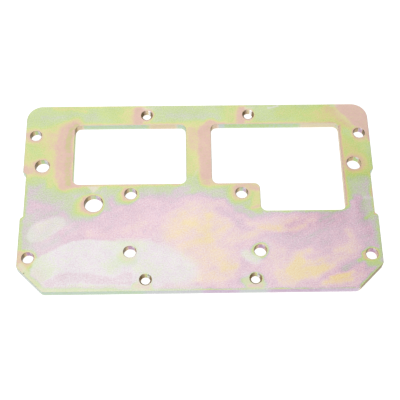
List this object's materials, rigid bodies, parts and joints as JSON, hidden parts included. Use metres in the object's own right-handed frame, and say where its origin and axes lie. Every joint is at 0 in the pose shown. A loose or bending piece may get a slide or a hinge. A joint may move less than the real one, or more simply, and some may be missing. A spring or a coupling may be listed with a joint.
{
  "type": "barrier plate",
  "caption": "Flat steel mounting plate with a rectangular and an L-shaped window, cut front corners, shallow side recesses, plain clearance holes and tapped holes.",
  "frame": {"origin": "centre of the underside, at the middle of the outline's width and depth", "axes": "+X to the right along the width, +Y to the rear edge beside the windows, +Z out of the top face"},
  "size_m": [0.26, 0.154, 0.006],
  "materials": {
    "zinc": "yellow iridescent passivated zinc on steel, satin"
  },
  "bodies": {
    "root": {"plate": "zinc"}
  },
  "joints": []
}
